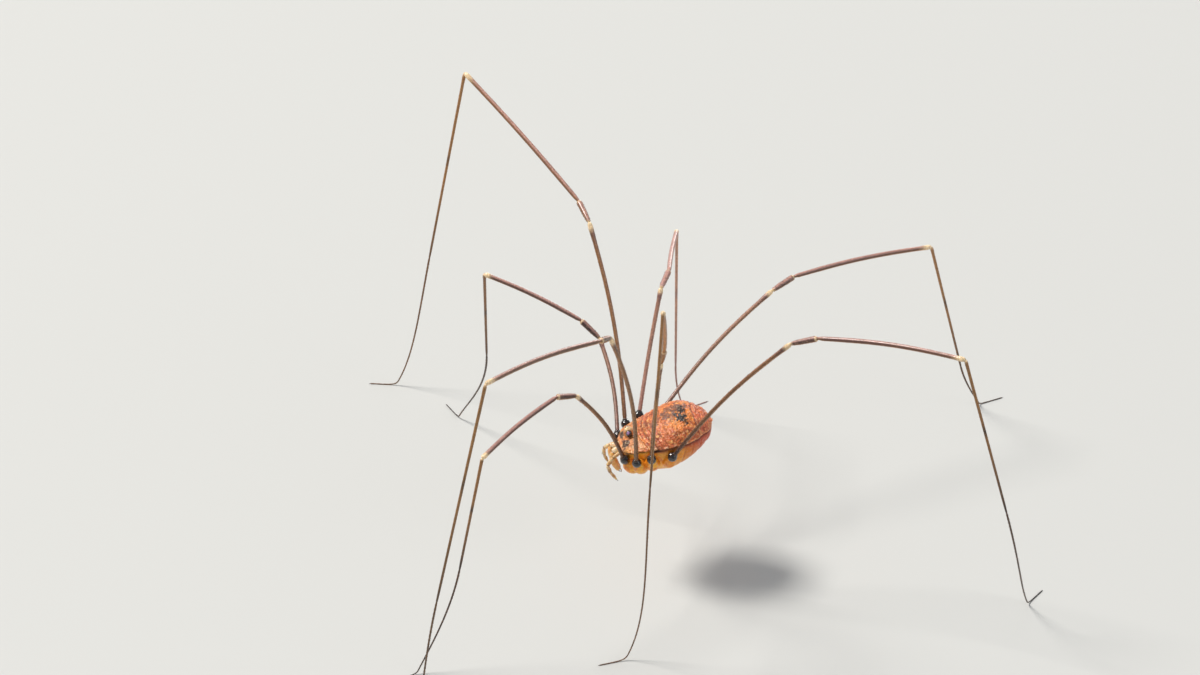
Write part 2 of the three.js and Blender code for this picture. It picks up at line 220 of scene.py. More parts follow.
def mesh_arrays(mesh):
    """The places and normals of a mesh's corners."""
    flat = np.empty((2, len(mesh.vertices) * 3))
    mesh.vertices.foreach_get("co", flat[0])
    mesh.vertices.foreach_get("normal", flat[1])
    return flat.reshape(2, -1, 3)


def node_middle(name):
    """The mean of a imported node's separate corners, in millimetres."""
    corners, _ = mesh_arrays(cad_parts[name].data)
    return np.unique(np.round(corners / MM, 4), axis=0).mean(axis=0)


# Where the animal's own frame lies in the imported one, from the roots of its legs
offsets = [node_middle(f"trochanter_{name}") - np.array(leg["root"]) for name, leg in LEGS.items()]
SHIFT = np.mean(offsets, axis=0)
SHIFT[2] = 0.0


class Shape:
    """Collects corners, faces, colours and bake places, and becomes one Blender mesh."""

    def __init__(self):
        self.points, self.faces, self.colours, self.places = [], [], [], []
        self.count = 0

    def add(self, points, faces, colours=0.0, places=None):
        points = np.asarray(points, float)
        colours = np.broadcast_to(np.asarray(colours, float), points.shape)
        if places is None:
            places = np.zeros((len(points), 2))
        self.points.append(points)
        self.colours.append(colours)
        self.places.append(np.asarray(places, float))
        self.faces += [tuple(index + self.count for index in face) for face in faces]
        self.count += len(points)

    def build(self, name, material, nodes, bake_map=False):
        points = (np.concatenate(self.points) + SHIFT) * MM
        points[:, 2] = np.maximum(points[:, 2], 0.0)
        mesh = bpy.data.meshes.new(name)
        mesh.from_pydata(points.tolist(), [], self.faces)
        mesh.update()
        finish_mesh(mesh, np.concatenate(self.colours))
        if bake_map:
            places = np.concatenate(self.places)
            loops = np.empty(len(mesh.loops), int)
            mesh.loops.foreach_get("vertex_index", loops)
            layer = mesh.uv_layers.new(name="OFBake")
            layer.data.foreach_set("uv", places[loops].ravel())
        place_piece(name, mesh, material, nodes)


def finish_mesh(mesh, colours):
    tint = mesh.color_attributes.new("Tint", "FLOAT_COLOR", "POINT")
    rgba = np.ones((len(mesh.vertices), 4))
    rgba[:, :3] = np.clip(colours, 0.0, 1.0)
    tint.data.foreach_set("color", rgba.ravel())
    mesh.polygons.foreach_set("use_smooth", np.ones(len(mesh.polygons), bool))
    mesh.validate()


def add_object(name, data):
    thing = bpy.data.objects.new(name, data)
    bpy.context.scene.collection.objects.link(thing)
    return thing


def place_piece(name, mesh, material, nodes):
    piece = add_object(name, mesh)
    mesh.materials.append(material)
    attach(piece, "root")
    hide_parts(*nodes)


# Materials
MOTTLE_RAMP = (0.38, 0.64)
MOTTLE_ROUGHNESS = (1.25, 0.7)
SPECK_EDGE = (0.14, 0.3)
FLESH_RADIUS = (1.0, 0.45, 0.2)
FLESH_DEPTH = 0.25


def new_material(name, roughness, coat, coat_roughness, bumps, subsurface=0.0,
                 mottles=(), specks=None, grain_mask=False):
    """Cuticle: the painted tint with mottling, specks and bumps, whose sizes are in millimetres.

    With grain_mask, the mesh's Grain attribute says where mottling and bumps are strong.
    """
    material = bpy.data.materials.new(name)
    material.use_nodes = True
    nodes = material.node_tree.nodes
    shader = nodes["Principled BSDF"]
    shader.inputs["Roughness"].default_value = roughness
    shader.inputs["Coat Weight"].default_value = coat
    shader.inputs["Coat Roughness"].default_value = coat_roughness
    if subsurface:
        shader.inputs["Subsurface Weight"].default_value = subsurface
        shader.inputs["Subsurface Radius"].default_value = FLESH_RADIUS
        shader.inputs["Subsurface Scale"].default_value = FLESH_DEPTH * MM

    def put(value, socket):
        """Sets a socket to a constant, or links another node's output to it."""
        if isinstance(value, bpy.types.NodeSocket):
            material.node_tree.links.new(value, socket)
        else:
            socket.default_value = value

    def attribute(attribute_name):
        node = nodes.new("ShaderNodeAttribute")
        node.attribute_name = attribute_name
        return node

    def texture(kind, size):
        node = nodes.new(kind)
        put(1.0 / (size * MM), node.inputs["Scale"])
        put(places.outputs["Object"], node.inputs["Vector"])
        return node

    def product(value, other):
        node = nodes.new("ShaderNodeMath")
        node.operation = "MULTIPLY"
        put(value, node.inputs[0])
        put(other, node.inputs[1])
        return node.outputs["Value"]

    def masked(amount):
        return product(mask.outputs["Fac"], amount) if grain_mask else amount

    def mixed(blend_type, factor, other):
        mix = nodes.new("ShaderNodeMix")
        mix.data_type = "RGBA"
        mix.blend_type = blend_type
        for value, socket in ((factor, "Factor"), (colour, "A"), (other, "B")):
            put(value, mix.inputs[socket])
        return mix.outputs["Result"]

    places = nodes.new("ShaderNodeTexCoord")
    colour = attribute("Tint").outputs["Color"]
    if grain_mask:
        mask = attribute("Grain")
    for number, (size, amount, dark, light) in enumerate(mottles):
        spots = texture("ShaderNodeTexNoise", size)
        put(4.0, spots.inputs["Detail"])
        put(0.65, spots.inputs["Roughness"])
        ramp = nodes.new("ShaderNodeValToRGB")
        for element, position, shade in zip(ramp.color_ramp.elements, MOTTLE_RAMP, (dark, light)):
            element.position = position
            element.color = (*shade, 1.0)
        put(spots.outputs["Fac"], ramp.inputs["Fac"])
        colour = mixed("MULTIPLY", masked(amount), ramp.outputs["Color"])
        if number == 0:
            rough = nodes.new("ShaderNodeMapRange")
            for socket, share in zip(("To Min", "To Max"), MOTTLE_ROUGHNESS):
                put(roughness * share, rough.inputs[socket])
            put(spots.outputs["Fac"], rough.inputs["Value"])
            put(rough.outputs["Result"], shader.inputs["Roughness"])
    if specks:
        size, share, speck_colour = specks
        cells = texture("ShaderNodeTexVoronoi", size)
        dots = nodes.new("ShaderNodeMapRange")
        edges = (*SPECK_EDGE, masked(share), 0.0, cells.outputs["Distance"])
        for socket, value in zip(("From Min", "From Max", "To Min", "To Max", "Value"), edges):
            put(value, dots.inputs[socket])
        some = nodes.new("ShaderNodeSeparateColor")
        put(cells.outputs["Color"], some.inputs["Color"])
        chosen = product(dots.outputs["Result"], some.outputs["Red"])
        colour = mixed("MIX", chosen, (*speck_colour, 1.0))
    put(colour, shader.inputs["Base Color"])
    normal = None
    for kind, size, height in bumps:
        bump = nodes.new("ShaderNodeBump")
        bump.invert = kind == "cells"
        if kind == "cells":
            put(texture("ShaderNodeTexVoronoi", size).outputs["Distance"], bump.inputs["Height"])
        else:
            put(texture("ShaderNodeTexNoise", size).outputs["Fac"], bump.inputs["Height"])
        put(height * MM, bump.inputs["Distance"])
        put(masked(1.0), bump.inputs["Strength"])
        if normal:
            put(normal, bump.inputs["Normal"])
        normal = bump.outputs["Normal"]
    put(normal, shader.inputs["Normal"])
    return material


trunk_material = new_material(
    "trunk_cuticle", 0.44, coat=0.18, coat_roughness=0.28, subsurface=0.1,
    mottles=(
        (0.14, 0.75, (0.62, 0.5, 0.44), (1.25, 1.18, 1.1)),
        (0.045, 0.6, (0.6, 0.52, 0.48), (1.25, 1.2, 1.15)),
    ),
    specks=(0.13, 0.75, (0.95, 0.62, 0.34)),
    bumps=(("cells", 0.075, 0.016), ("noise", 0.035, 0.012)), grain_mask=True,
)
flesh_material = new_material(
    "pale_cuticle", 0.38, coat=0.3, coat_roughness=0.2, subsurface=0.25,
    mottles=((0.1, 0.5, (0.72, 0.6, 0.48), (1.1, 1.08, 1.05)),),
    bumps=(("noise", 0.03, 0.006),),
)
black_material = new_material(
    "black_cuticle", 0.24, coat=0.85, coat_roughness=0.12,
    mottles=((0.08, 0.6, (0.4, 0.36, 0.34), (1.6, 1.4, 1.3)),),
    bumps=(("cells", 0.07, 0.012), ("noise", 0.03, 0.004)),
)
eye_material = new_material("eye_gloss", 0.12, coat=1.0, coat_roughness=0.03, bumps=(("noise", 0.2, 0.002),))
leg_material = new_material(
    "leg_cuticle", 0.34, coat=0.45, coat_roughness=0.16, subsurface=0.06,
    mottles=((0.07, 0.6, (0.5, 0.42, 0.36), (1.4, 1.3, 1.2)),),
    bumps=(("cells", 0.04, 0.007), ("noise", 0.02, 0.004)),
)


# Shapes. A way that rises more than this is steep.
STEEP = 0.8


def stops_at(stops, shares):
    """Values at shares of a length, by straight lines between stops of (share, value)."""
    return np.interp(shares, *zip(*stops))


def profile(y):
    """Half width, height and depth of the trunk at places along it, by smooth curves."""
    along, sizes = BODY_STATIONS[:, 0], BODY_STATIONS[:, 1:]
    slopes = np.gradient(sizes, along, axis=0)
    after = np.clip(np.searchsorted(along, y), 1, len(along) - 1)
    before = after - 1
    span = (along[after] - along[before])[:, None]
    t = (y - along[before])[:, None] / span
    return ((2 * t**3 - 3 * t**2 + 1) * sizes[before] + (t**3 - 2 * t**2 + t) * span * slopes[before]
            + (3 * t**2 - 2 * t**3) * sizes[after] + (t**3 - t**2) * span * slopes[after])


def grid_faces(rows, columns):
    faces = []
    for r in range(rows - 1):
        for c in range(columns):
            d = (c + 1) % columns
            faces.append((r * columns + c, r * columns + d, (r + 1) * columns + d, (r + 1) * columns + c))
    return faces


def capped_tube(points, radii, sides):
    """Rings along a path, closed at both ends, as (corners, faces, place along, angle round)."""
    points = np.asarray(points, float)
    tangents = unit(np.gradient(points, axis=0))
    across = np.array([0.0, 0.0, 1.0]) if abs(tangents[0][2]) < STEEP else np.array([1.0, 0.0, 0.0])
    angles = angles_round(sides)
    rings = []
    for point, way, radius in zip(points, tangents, radii):
        across = unit(across - across @ way * way)
        up = np.cross(way, across)
        rings.append(point + radius * (np.cos(angles)[:, None] * across + np.sin(angles)[:, None] * up))
    corners = np.concatenate(rings)
    faces = grid_faces(len(points), sides)
    last = (len(points) - 1) * sides
    faces.append(tuple(reversed(range(sides))))
    faces.append(tuple(range(last, last + sides)))
    along = np.repeat(np.linspace(0, 1, len(points)), sides)
    return corners, faces, along, np.tile(angles, len(points))


def curve_points(keys, count):
    """Points along a smooth curve through the keys."""
    keys = np.asarray(keys, float)
    before = 2 * keys[0] - keys[1]
    after = 2 * keys[-1] - keys[-2]
    padded = np.vstack([before, keys, after])
    place = np.linspace(0, len(keys) - 1, count)
    index = np.minimum(place.astype(int), len(keys) - 2)
    t = (place - index)[:, None]
    p0, p1, p2, p3 = (padded[index + step] for step in range(4))
    return 0.5 * (2 * p1 + (p2 - p0) * t + (2 * p0 - 5 * p1 + 4 * p2 - p3) * t**2
                  + (3 * p1 - p0 - 3 * p2 + p3) * t**3)


def ball(centre, radii, columns, rows):
    polar = np.linspace(0, np.pi, rows)[1:-1]
    angles = angles_round(columns)
    rings = [[np.sin(p) * np.cos(a), np.sin(p) * np.sin(a), -np.cos(p)] for p in polar for a in angles]
    corners = [[0, 0, -1.0], *rings, [0, 0, 1.0]]
    faces = [(0, 1 + (c + 1) % columns, 1 + c) for c in range(columns)]
    faces += [tuple(index + 1 for index in face) for face in grid_faces(len(polar), columns)]
    last = 1 + (len(polar) - 1) * columns
    top = len(corners) - 1
    faces += [(top, last + c, last + (c + 1) % columns) for c in range(columns)]
    return np.array(corners) * np.asarray(radii) + np.asarray(centre), faces


# Trunk shells, in the trunk's own frame, which one remesh joins
def trunk_shell():
    rows, columns = 140, 120
    y = BODY_HALF_LENGTH * np.sin(np.linspace(-np.pi / 2, np.pi / 2, rows))
    half, top, bottom = profile(y).T[..., None]
    edge = np.minimum(WIDEST_Z, WIDEST_SHARE * top)
    angles = angles_round(columns)
    rise = np.sin(angles)
    corners = np.empty((rows, columns, 3))
    corners[..., 0] = half * np.cos(angles)
    corners[..., 1] = y[:, None]
    above = edge + (top - edge) * rise
    below = edge + (bottom + edge) * rise
    corners[..., 2] = np.where(rise > 0, above, below)
    faces = [tuple(reversed(face)) for face in grid_faces(rows, columns)]
    last = (rows - 1) * columns
    faces.append(tuple(range(columns)))
    faces.append(tuple(reversed(range(last, last + columns))))
    return corners.reshape(-1, 3), faces


def coxa_path(root):
    side = math.copysign(1.0, root[0])
    inner = np.array([side * COXA_INNER_X, COXA_ROOT_SHARE * root[1] - COXA_FORWARD, COXA_INNER_Z])
    outer = inner + COXA_REACH * (root - inner)
    middle = 0.5 * (inner + outer) + np.array(COXA_BULGE) * [side, 1, 1]
    return curve_points([inner, middle, outer], 24)


def remeshed(shells, voxel, smoothing):
    """Joins a shape's overlapping closed shells, in millimetres, into one smooth skin."""
    mesh = bpy.data.meshes.new("shells")
    mesh.from_pydata(np.concatenate(shells.points).tolist(), [], shells.faces)
    worker = add_object("shells", mesh)
    remesh = worker.modifiers.new("join", "REMESH")
    remesh.mode = "VOXEL"
    remesh.voxel_size = voxel
    soften = worker.modifiers.new("soften", "SMOOTH")
    soften.factor = 0.5
    soften.iterations = smoothing
    graph = bpy.context.evaluated_depsgraph_get()
    result = bpy.data.meshes.new_from_object(worker.evaluated_get(graph))
    bpy.data.objects.remove(worker)
    bpy.data.meshes.remove(mesh)
    return result


# The plate that covers the back ends at this line along each side
EDGE_LINE = ((-2.2, 0.08), (-1.6, 0.17), (-1.0, 0.2), (0.0, 0.24), (1.0, 0.24), (1.6, 0.16), (2.1, 0.06))
# Cross grooves of the back: place, width, depth, and how far they bow back at the sides
GROOVES = (
    (-1.3, 0.035, 0.9, 0.2), (-1.16, 0.03, 0.5, 0.2), (-1.0, 0.05, 1.0, 0.22), (-0.74, 0.03, 0.7, 0.2),
    (-0.45, 0.035, 0.55, 0.17), (-0.1, 0.03, 0.4, 0.13), (0.3, 0.03, 0.4, 0.1), (0.72, 0.025, 0.3, 0.08),
    (1.39, 0.024, 1.2, 0.05), (1.68, 0.03, 0.6, 0.03), (1.92, 0.03, 0.5, 0.0),
)
# Dark marks of the back: across, along, their half sizes, and strength
BLACK_MARKS = (
    (0.5, 0.86, 0.38, 0.28, 1.0), (0.12, 0.92, 0.36, 0.21, 0.92),
    (0.3, 0.7, 0.22, 0.17, 0.85), (0.74, 0.95, 0.2, 0.17, 0.85),
)
GREY_MARKS = (
    (0.0, 0.72, 0.55, 0.38, 0.95), (0.35, 0.5, 0.38, 0.22, 0.7), (0.12, 0.22, 0.38, 0.25, 0.88),
    (-0.3, 0.35, 0.22, 0.22, 0.6), (0.15, -0.35, 0.28, 0.24, 0.66), (0.1, -0.8, 0.22, 0.12, 0.3),
)


# The patches before the eyes: across and along, with their half sizes
FRONT_PATCH = (0.36, -1.88, 0.27, 0.19)
# How far the eye mound's foot spreads
MOUND_FOOT = (0.3, 0.42, 0.5)
BELLY_RING_STEP = 0.38

# The whole of each region is warmed by these shares of red, green and blue
BACK_WARMTH = (1.08, 1.0, 0.75)
CARAPACE_WARMTH = (1.04, 0.98, 0.82)
FLANK_WARMTH = (1.22, 1.12, 0.42)
# The flank is smoother than the back
FLANK_GRAIN = 0.5

# The remesh of the trunk
FINE_VOXEL = 0.019
SMOOTHING = 5
COXA_SIDES = 28


def marks(x, y, places, blot):
    """How strongly a point lies in any of the ragged marks."""
    total = np.zeros(len(x))
    for across, along, half_width, half_length, strength in places:
        reach = np.hypot((x - across) / half_width, (y - along) / half_length) + blot
        total = np.maximum(total, strength * (1 - smooth(0.75, 1.15, reach)))
    return total


class TrunkPlaces:
    """Each corner's place in the trunk's own frame, its height above the edge of the back plate,
    and how far it belongs to each region, mostly from 0 to 1.
    """

    def __init__(self, p):
        x, y, z = p.T
        self.p, self.x, self.y, self.z = p, x, y, z
        along_edge = np.stack([np.sign(x), y, np.zeros(len(y))], axis=1)
        edge = z - stops_at(EDGE_LINE, y)
        # The edge is gently scalloped
        self.edge = edge + (0.1 * (value_noise(along_edge, 0.24, 12) - 0.5) + 0.012 * np.sin(15 * y))
        half = profile(np.clip(y, -BODY_HALF_LENGTH + 0.005, BODY_HALF_LENGTH - 0.005))[:, 0]
        at_side = smooth(0.55, 0.8, np.abs(x) / np.maximum(half, 0.05))
        self.flank = np.maximum(at_side, smooth(1.9, 2.05, y))
        self.plate = smooth(-0.02, 0.05, self.edge)
        self.rear = smooth(-1.25, -1.05, y)
        self.mound_reach = np.linalg.norm((p - MOUND_CENTRE) / MOUND_FOOT, axis=1)
        self.mound = 1 - smooth(0.8, 1.1, self.mound_reach)
        self.wander = 0.09 * (layered_noise(p, 0.35, 11) - 0.5)
        self.grooves, self.ridges = np.zeros(len(p)), np.zeros(len(p))
        for place, width, depth, bow in GROOVES:
            away = y - (place + bow * x**2) - self.wander
            self.grooves += depth * bell(away, width)
            self.ridges += depth * bell(away - 0.075, 0.045)
        # Bumps along the rim of the plate, which are also painted cream as highlights
        self.rim_bumps_and_highlights = self.rear * self.flank * bell(self.edge - 0.07, 0.045)
        self.rim_bumps_and_highlights *= smooth(0.55, 0.72, value_noise(p, 0.1, 29))
        # Shallow rings between the segments of the belly, leaning back at the sides
        ring_place = (y - 0.35 * self.edge + 0.5 * self.wander) / BELLY_RING_STEP
        self.rings = bell(ring_place - np.round(ring_place), 0.09) * (1 - self.plate)
        self.rings *= smooth(-0.4, 0.2, y) * smooth(-0.08, -0.2, self.edge)


def trunk_relief(at):
    """How far each corner is pushed out, in millimetres."""
    rim = 0.035 * bell(at.edge - 0.05, 0.05) - 0.06 * bell(at.edge + 0.045, 0.04)
    push = at.rear * at.flank * rim
    front_rim = 0.02 * bell(at.edge - 0.06, 0.04) - 0.04 * bell(at.edge + 0.02, 0.03)
    push += smooth(-1.0, -1.3, at.y) * at.flank * front_rim
    push += at.plate * (1 - at.mound) * (0.016 * at.ridges - 0.034 * at.grooves)
    rough = layered_noise(at.p, 0.3, 3) - 0.5
    grain = layered_noise(at.p, 0.11, 5) - 0.5
    fine = value_noise(at.p, 0.055, 6) - 0.5
    push += at.plate * (1 - 0.6 * at.mound) * (0.05 * rough + 0.05 * grain + 0.022 * fine)
    push += 0.035 * at.rim_bumps_and_highlights
    below = 1 - at.plate
    folds = np.sin(26 * at.edge + 5.0 * layered_noise(at.p * np.array([1, 0.4, 1]), 0.5, 8))
    push += below * at.rear * 0.006 * folds * smooth(-1.1, -0.1, at.edge)
    push += below * 0.02 * (layered_noise(at.p, 0.25, 9) - 0.5)
    push += below * 0.012 * (layered_noise(at.p, 0.09, 10) - 0.5)
    return push - 0.022 * at.rings


def back_colours(at):
    """Rose at the front sides and the tail, orange behind the middle, with dark marks."""
    p, x, y = at.p, at.x, at.y
    orange = srgb(246, 160, 82)
    brown = srgb(120, 56, 26)
    cream = srgb(255, 214, 158)
    zones = layered_noise(p, 0.6, 21) - 0.5
    rosy = smooth(0.0, 0.9, np.abs(x) + 0.8 * zones) * smooth(0.4, -0.6, y) + smooth(1.3, 1.5, y)
    warm = bell(y - 0.75, 0.75) * (1 - smooth(1.0, 1.35, np.abs(x)))
    warm = warm * blotches(p, 0.26, 23, 0.34, 0.6) * smooth(1.42, 1.3, y)
    back = paint(
        srgb(204, 112, 72),
        (srgb(222, 132, 104), np.clip(rosy, 0, 1) * 0.8),
        (orange, np.clip(warm * 1.1, 0, 1)),
        (orange, blotches(p, 0.2, 24, 0.55, 0.7) * 0.6),
        (brown, blotches(p, 0.17, 25, 0.54, 0.7) * 0.6),
        (cream, blotches(p, 0.09, 27, 0.62, 0.74) * 0.75),
        (cream, np.clip(at.ridges, 0, 1) * blotches(p, 0.12, 28, 0.5, 0.65) * 0.6),
        (brown, np.clip(at.grooves, 0, 1) * 0.72),
    )
    back = back * BACK_WARMTH * (1 - 0.12 * smooth(1.3, 1.5, y))[:, None] ** [0, 1, 1]
    blot = 2.2 * (layered_noise(p, 0.16, 31) - 0.5) + 0.8 * (value_noise(p, 0.06, 33) - 0.5)
    lights = marks(x, y, BLACK_MARKS, 0.0) * smooth(0.66, 0.76, value_noise(p, 0.1, 35))
    return paint(
        back,
        (srgb(120, 80, 62), marks(x, y, GREY_MARKS, blot)),
        (srgb(38, 24, 22), marks(x, y, BLACK_MARKS, 0.8 * blot)),
        (srgb(236, 150, 90), lights * 0.8),
    )


def carapace_colours(at):
    """Paler than the back, with a dark patch on each side of the middle, before the eyes."""
    p, y = at.p, at.y
    across = np.abs(at.x)
    front = paint(
        srgb(242, 178, 128),
        (srgb(214, 122, 84), blotches(p, 0.25, 41, 0.46, 0.66) * 0.8),
        (srgb(255, 232, 196), blotches(p, 0.1, 43, 0.58, 0.72) * 0.7),
        (srgb(140, 72, 34), blotches(p, 0.13, 44, 0.6, 0.74) * 0.6),
        (srgb(226, 172, 74), smooth(0.55, 0.9, across) * smooth(-1.7, -1.95, y) * 0.8),
    )
    patch_x, patch_y, half_width, half_length = FRONT_PATCH
    reach = np.hypot((across - patch_x) / half_width, (y - patch_y) / half_length)
    patch = 1 - smooth(0.8, 1.1, reach + 0.7 * (layered_noise(p, 0.14, 45) - 0.5))
    patch = np.maximum(patch, 0.8 * bell(across - 0.62, 0.09) * smooth(-1.9, -1.98, y))
    # The patch's own dark grey-brown, flecked with paler grey that is painted highlight
    dark_patch_and_highlights = blend(srgb(52, 36, 28), srgb(132, 118, 96), smooth(0.55, 0.7, value_noise(p, 0.07, 46)))
    mound_top = blend(srgb(236, 158, 92), srgb(255, 226, 176), smooth(0.7, 0.88, at.z))
    return paint(
        front * CARAPACE_WARMTH,
        (dark_patch_and_highlights, 0.94 * patch),
        (srgb(120, 62, 30), 0.45 * bell(across - 0.75, 0.12) * bell(y + 1.5, 0.3)),
        (mound_top, at.mound),
        (srgb(96, 48, 24), 0.6 * bell(at.mound_reach - 1.1, 0.12)),
    )


def flank_colours(at):
    """Below the plate: amber, redder to the rear, yellow at the coxae."""
    p, y = at.p, at.y
    yellow = srgb(240, 182, 88)
    below_edge = 0.8 * np.clip(at.edge, -0.5, 0)
    redness = smooth(-0.3, 1.4, y + below_edge + 0.5 * (layered_noise(p, 0.5, 53) - 0.5))
    coxal = smooth(0.3, -0.5, y)
    flank = paint(
        srgb(214, 138, 40),
        (yellow, blotches(p, 0.45, 51, 0.4, 0.7) * 0.6),
        (srgb(182, 62, 10), redness * 0.95),
        (blend(yellow, srgb(216, 128, 30), blotches(p, 0.3, 55, 0.42, 0.66)), coxal * 0.8),
        (srgb(226, 170, 100), smooth(-0.9, -1.3, at.z) * (1 - coxal) * 0.5),
        (srgb(150, 60, 20), 0.4 * at.rings),
    )
    return flank * FLANK_WARMTH


def edge_lines(at, colours):
    """Dark and pale lines along the edge of the plate. Behind the front, the dark lines in the groove under
    the rim are partly the edge's own dark colour and partly painted shade, and the pale line and cream bumps
    on the rim are painted highlights.
    """
    edge, y = at.edge, at.y
    side = at.rear * at.flank
    shoulder = at.flank * bell(edge + 0.07, 0.07) * bell(y + 0.63, 0.22)
    front_edge = smooth(-0.9, -1.1, y) * at.flank * bell(edge + 0.015, 0.03)
    return paint(
        colours,
        # Partly painted shade: dark lines in the groove under the rim, over the edge's own dark colour
        (srgb(136, 52, 14), 0.7 * side * bell(edge + 0.09, 0.08) * smooth(-1.0, -0.6, y)),
        (srgb(80, 26, 10), 0.85 * side * bell(edge + 0.03, 0.04) * smooth(-1.1, -0.7, y)),
        (srgb(44, 20, 12), 0.9 * np.clip(1.3 * shoulder, 0, 1)),
        # Painted highlights: cream on the rim bumps and a pale line along the rim
        (srgb(255, 216, 176), 0.7 * at.rim_bumps_and_highlights),
        (srgb(250, 176, 112), 0.6 * side * bell(edge - 0.06, 0.03) * smooth(0.2, 1.0, y)),
        (srgb(60, 26, 12), 0.9 * front_edge),
    )


def trunk_skin():
    roots = [to_trunk(leg["root"]) for leg in LEGS.values()]
    shells = Shape()
    shells.add(*trunk_shell())
    shells.add(*ball(STERNUM_CENTRE, STERNUM_RADII, 48, 32))
    shells.add(*ball(MOUND_CENTRE, MOUND_RADII, 40, 28))
    for root in roots:
        path = coxa_path(root)
        radii = stops_at(COXA_RADII, np.linspace(0, 1, len(path)))
        shells.add(*capped_tube(path, radii, COXA_SIDES)[:2])
    mesh = remeshed(shells, FINE_VOXEL, SMOOTHING)
    p, n = mesh_arrays(mesh)
    at = TrunkPlaces(p)

    behind_carapace = smooth(-1.32, -1.26, at.y - 0.2 * at.x**2 - at.wander)
    upper = blend(carapace_colours(at), back_colours(at), behind_carapace)
    colours = edge_lines(at, blend(flank_colours(at), upper, at.plate))
    # Dark rings where the trochanters sit in the coxae
    for root in roots:
        away = np.linalg.norm(p - root, axis=1)
        colours = blend(colours, srgb(90, 46, 16), 0.8 * (1 - smooth(0.22, 0.29, away)))

    p = p + trunk_relief(at)[:, None] * n
    mesh.vertices.foreach_set("co", ((from_trunk(p) + SHIFT) * MM).ravel())
    mesh.update()
    finish_mesh(mesh, colours)
    grain = mesh.attributes.new("Grain", "FLOAT", "POINT")
    grain.data.foreach_set("value", FLANK_GRAIN + (1 - FLANK_GRAIN) * at.plate)
    place_piece("trunk_skin", mesh, trunk_material, ["cephalothorax", "abdomen", "ocularium"])


trunk_skin()


# Eyes: black domes with a violet and a blue glint painted into their colour as reflections, as (towards, how
# near its middle, colour, strength)
EYE_STRETCH = np.array([0.85, 1.0, 1.3])
PAINTED_REFLECTIONS = (
    ((0.8, -0.25, 0.5), (0.8, 0.99), srgb(196, 150, 206), 0.85),
    ((0.9, -0.35, 0.1), (0.9, 1.0), srgb(84, 120, 230), 0.9),
)


def eye(name, side):
    mirror = np.array([side, 1, 1])
    centre = mirror * EYE_CENTRE
    corners, faces = ball(centre, EYE_RADIUS * EYE_STRETCH, 48, 32)
    around = (corners - centre) / EYE_RADIUS
    colours = srgb(14, 10, 14)
    # Painted reflections: each glint is laid into the eye's black where the surface faces its way
    for towards, reach, reflection, strength in PAINTED_REFLECTIONS:
        facing = around @ unit(mirror * towards)
        colours = blend(colours, reflection, smooth(*reach, facing) * strength)
    shape = Shape()
    shape.add(from_trunk(corners), faces, colours)
    shape.build(name, eye_material, [name])


eye("eye_left", 1)
eye("eye_right", -1)

# Small parts that grow on a limb, with their roots sunk by a share of their length
CONE_SINK = 0.12
CONE_PATCH = 0.0012
# Where claws lie on the bake map
CLAW_PATCH = 0.995


def add_cones(shape, roots, ways, lengths, radii, colours, places, sides=4):
    """Small pointed spines: roots in millimetres, with a direction, length and root radius each."""
    ways = unit(ways)
    helper = np.where(np.abs(ways[:, 2:3]) < STEEP, [[0.0, 0.0, 1.0]], [[1.0, 0.0, 0.0]])
    across = unit(np.cross(ways, helper))
    up = np.cross(ways, across)
    angles = angles_round(sides)
    circle = np.stack([np.cos(angles), np.sin(angles)], axis=1)
    outward = circle[None, :, :1] * across[:, None, :] + circle[None, :, 1:] * up[:, None, :]
    base = roots[:, None, :] + radii[:, None, None] * outward
    base -= CONE_SINK * lengths[:, None, None] * ways[:, None, :]
    tips = roots + lengths[:, None] * ways
    corners = np.concatenate([base, tips[:, None, :]], axis=1).reshape(-1, 3)
    step = sides + 1
    faces = []
    for first in range(0, len(roots) * step, step):
        faces += [(first + s, first + (s + 1) % sides, first + sides) for s in range(sides)]
        faces.append(tuple(first + s for s in reversed(range(sides))))
    spread = np.vstack([circle * CONE_PATCH, [[0.0, 0.0]]])
    patch = (places[:, None, :] + spread[None, :, :]).reshape(-1, 2)
    shape.add(corners, faces, np.repeat(colours, step, axis=0), patch)


def add_claw(shape, path, colour):
    corners, faces = capped_tube(path, np.linspace(0.018, 0.004, len(path)), 8)[:2]
    shape.add(corners, faces, colour, np.full((len(corners), 2), CLAW_PATCH))


def lumpy(corners, path, amount, size, seed):
    """A tube's corners, moved in and out from its path."""
    centres = np.repeat(path, len(corners) // len(path), axis=0)
    lumps = 1 + amount * (layered_noise(corners, size, seed) - 0.5)
    return centres + (corners - centres) * lumps[:, None]


def direction(azimuth, elevation):
    a, e = math.radians(azimuth), math.radians(elevation)
    return np.array([math.cos(e) * math.sin(a), -math.cos(e) * math.cos(a), math.sin(e)])


# Legs. The first four kinds run from joint to joint, and the tarsus lies down on the floor.
SEGMENTS = ("femur", "patella", "tibia", "metatarsus")
SEGMENT_SIDES = 14
